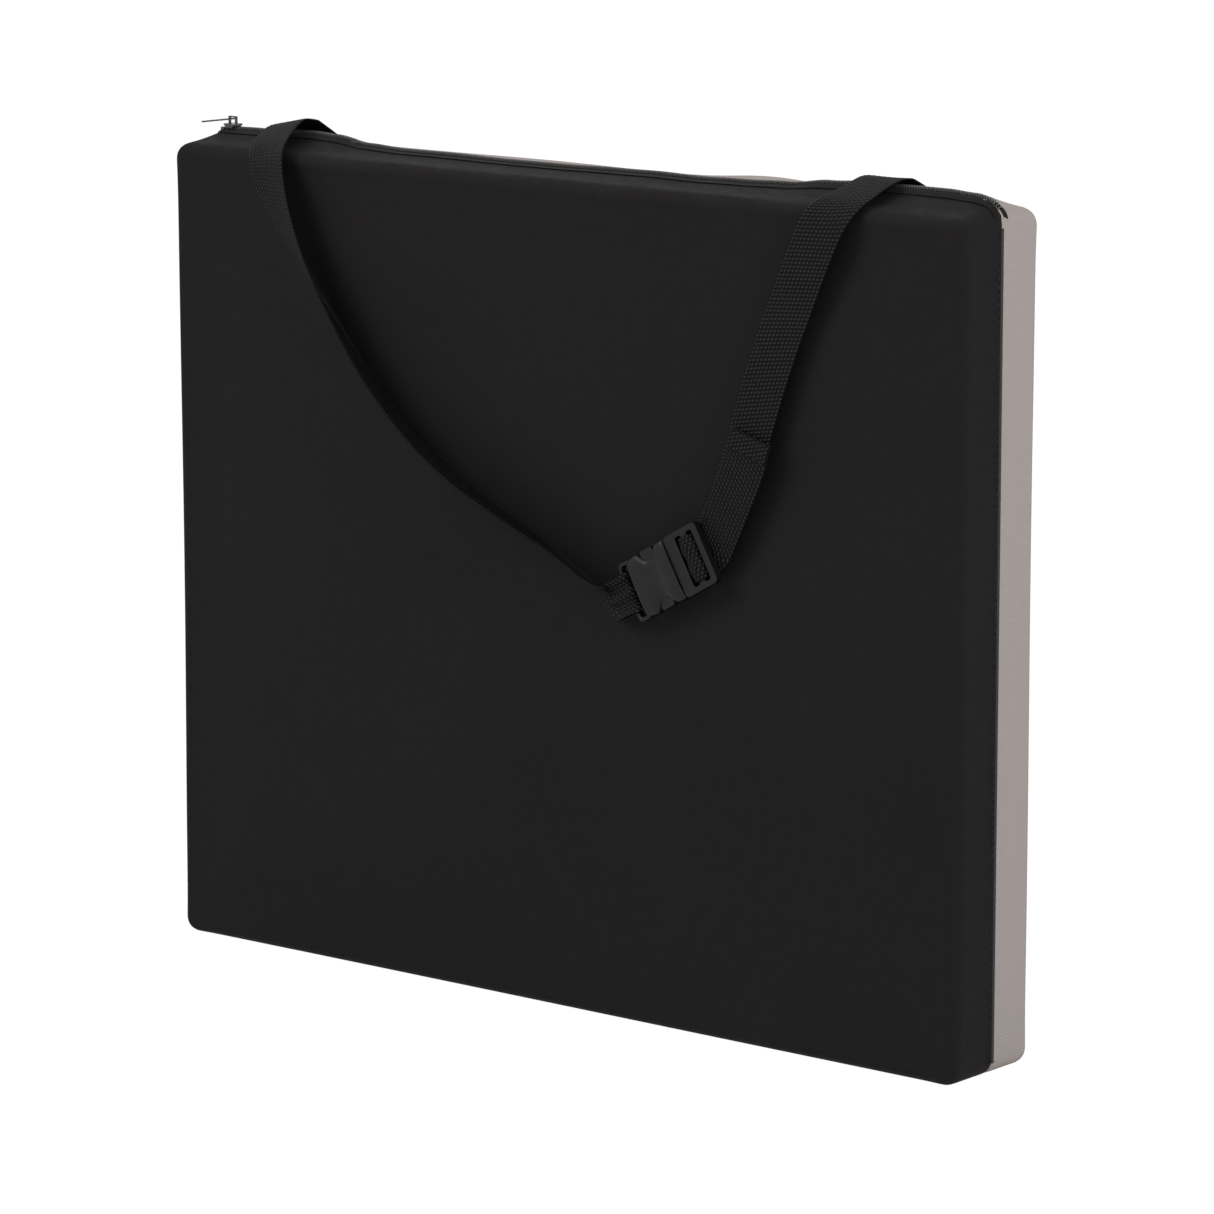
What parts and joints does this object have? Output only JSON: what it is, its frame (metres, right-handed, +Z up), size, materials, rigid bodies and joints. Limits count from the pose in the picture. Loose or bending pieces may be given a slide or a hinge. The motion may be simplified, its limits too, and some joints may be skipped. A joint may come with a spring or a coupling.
{
  "type": "folding gym mat",
  "caption": "Two-panel folding gym mat closed like a book, with foam in sewn covers, a coil zip along the top and a carry strap with a side-release buckle.",
  "frame": {"origin": "on the ground, midway between the mat's ends and between its two panels", "axes": "+X along the mat towards the folding seam, +Y from the black panel to the grey one, +Z up"},
  "size_m": [0.6118, 0.107, 0.5144],
  "materials": {
    "black_cover": "matte smooth coated fabric",
    "grey_cover": "matte coated fabric with fine ribs",
    "foam": "closed-cell foam",
    "thread": "sewing thread",
    "zip_tape": "woven tape",
    "zip_coil": "nylon coil",
    "zip_metal": "black lacquer",
    "webbing": "ribbed polypropylene webbing",
    "buckle_plastic": "moulded acetal, satin"
  },
  "bodies": {
    "rear_panel": {"rear_cover": "grey_cover", "rear_lining": "grey_cover", "rear_foam": "foam", "spine_seam": "thread", "rear_zip_tape": "zip_tape", "rear_zip_coil": "zip_coil", "rear_top_stop": "zip_metal", "zip_bottom_stop": "zip_metal", "strap_end_left": "webbing", "strap_end_right": "webbing", "strap_end_stitching": "thread"},
    "front_panel": {"front_cover": "black_cover", "front_lining": "black_cover", "front_foam": "foam", "front_zip_tape": "zip_tape", "front_zip_coil": "zip_coil", "front_top_stop": "zip_metal"},
    "slider": {"zip_slider": "zip_metal"},
    "pull": {"pull_tab": "zip_metal"},
    "strap_top": {"strap_left_upper": "webbing", "strap_right_upper": "webbing"},
    "strap_loop": {"strap_left_lower": "webbing", "strap_right_lower": "webbing", "strap_tail": "webbing", "buckle_socket": "buckle_plastic"},
    "plug": {"buckle_plug": "buckle_plastic"},
    "prong_upper": {"buckle_prong_upper": "buckle_plastic"},
    "prong_lower": {"buckle_prong_lower": "buckle_plastic"}
  },
  "joints": [
    {"name": "fold", "type": "hinge", "parent": "rear_panel", "child": "front_panel", "pos_m": [0.30015, 0, 0], "axis": [0, 0, 1], "range_deg": [0, 180]},
    {"name": "zip_travel", "type": "slide", "parent": "rear_panel", "child": "slider", "axis": [1, 0, 0], "range_m": [0, 0.567]},
    {"name": "pull_swing", "type": "hinge", "parent": "slider", "child": "pull", "pos_m": [-0.2847, 0, 0.5127], "axis": [0, 1, 0], "range_deg": [0, 190]},
    {"name": "strap_lift", "type": "hinge", "parent": "rear_panel", "child": "strap_top", "pos_m": [0, 0.016, 0.501], "axis": [-1, 0, 0], "range_deg": [0, 150], "deforming": ["strap_left_upper", "strap_right_upper"]},
    {"name": "strap_turn", "type": "hinge", "parent": "strap_top", "child": "strap_loop", "pos_m": [0, -0.0465, 0.5005], "axis": [-1, 0, 0], "range_deg": [0, 210], "deforming": ["strap_left_lower"]},
    {"name": "buckle_release", "type": "slide", "parent": "strap_loop", "child": "plug", "axis": [0.8704, 0, 0.4924], "range_m": [0, 0.032], "deforming": ["strap_right_lower", "strap_tail", "buckle_prong_upper", "buckle_prong_lower"]},
    {"name": "prong_upper_press", "type": "hinge", "parent": "plug", "child": "prong_upper", "pos_m": [0.10257, -0.052, 0.29341], "axis": [0, -1, 0], "range_deg": [0, 12], "stiffness_Nm_per_rad": 0.05},
    {"name": "prong_lower_press", "type": "hinge", "parent": "plug", "child": "prong_lower", "pos_m": [0.11439, -0.052, 0.27253], "axis": [0, 1, 0], "range_deg": [0, 12], "stiffness_Nm_per_rad": 0.05}
  ],
  "couplings": [
    {"joint": "zip_travel", "follows": "fold", "m_per_rad": 0.18045},
    {"joint": "strap_lift", "follows": "fold", "ratio": 0.8333},
    {"joint": "strap_turn", "follows": "fold", "ratio": 1.1666}
  ]
}
